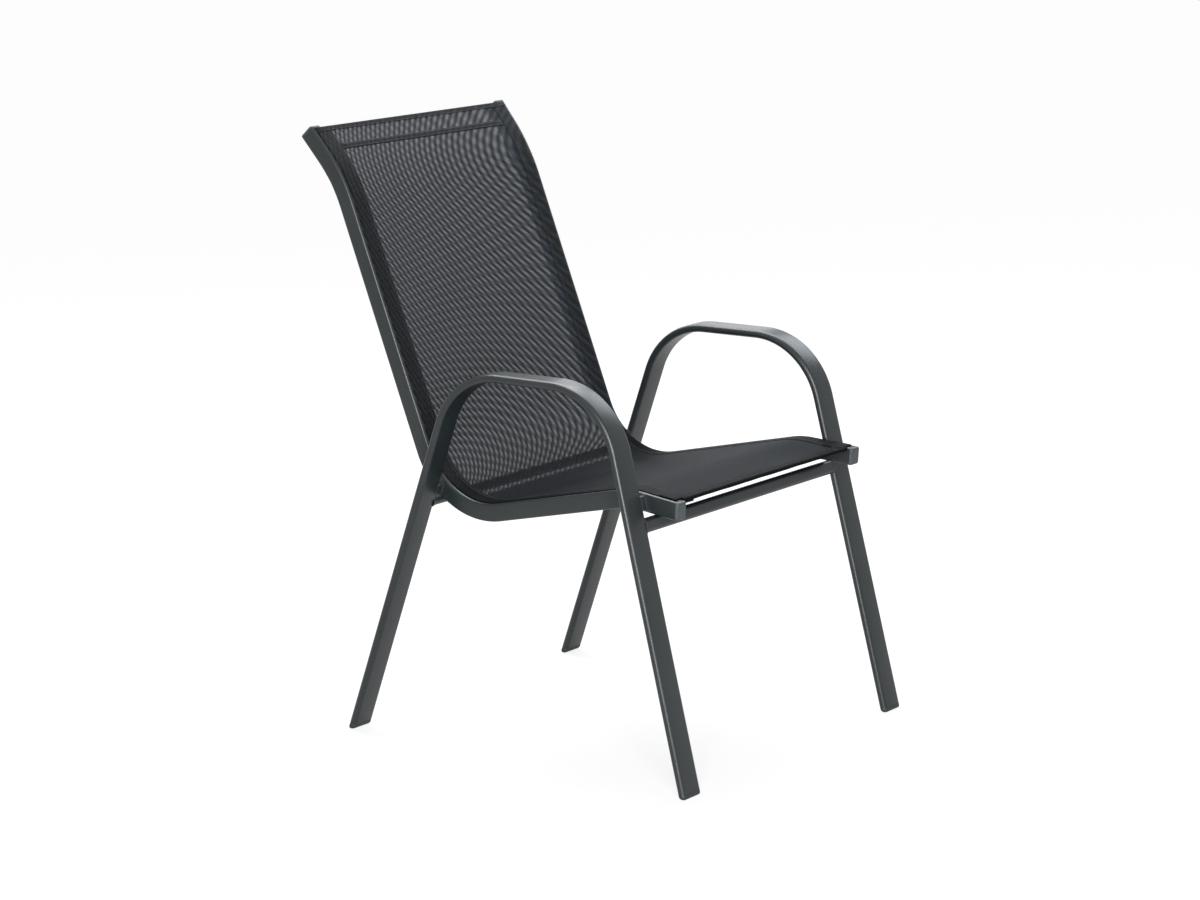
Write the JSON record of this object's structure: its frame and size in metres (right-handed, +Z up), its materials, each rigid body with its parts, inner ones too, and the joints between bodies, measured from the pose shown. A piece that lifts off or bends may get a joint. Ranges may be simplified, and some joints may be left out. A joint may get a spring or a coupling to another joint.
{
  "type": "sling patio chair",
  "caption": "Stacking garden chair: two side hoops of flat-oval tube as legs and arms, bent slotted rails and one mesh sling as seat and back",
  "frame": {"origin": "on the floor, at the centre of the chair's own box", "axes": "+X to the sitter's left, the sitter faces -Y, +Z up"},
  "size_m": [0.5736, 0.7534, 0.9347],
  "materials": {
    "frame": "satin powder coat",
    "cap": "satin",
    "foot": "satin",
    "sling": "open plastic-coated weave",
    "rod": "plain"
  },
  "bodies": {
    "root": {"side_hoop_right": "frame", "sling_rail_right": "frame", "front_stub_right": "frame", "rail_top_cap_right": "cap", "rail_front_cap_right": "cap", "front_foot_right": "foot", "rear_foot_right": "foot", "edge_rod_right": "rod", "side_hoop_left": "frame", "sling_rail_left": "frame", "front_stub_left": "frame", "rail_top_cap_left": "cap", "rail_front_cap_left": "cap", "front_foot_left": "foot", "rear_foot_left": "foot", "edge_rod_left": "rod", "front_crossbar": "frame", "rear_crossbar": "frame", "sling": "sling"}
  },
  "joints": []
}
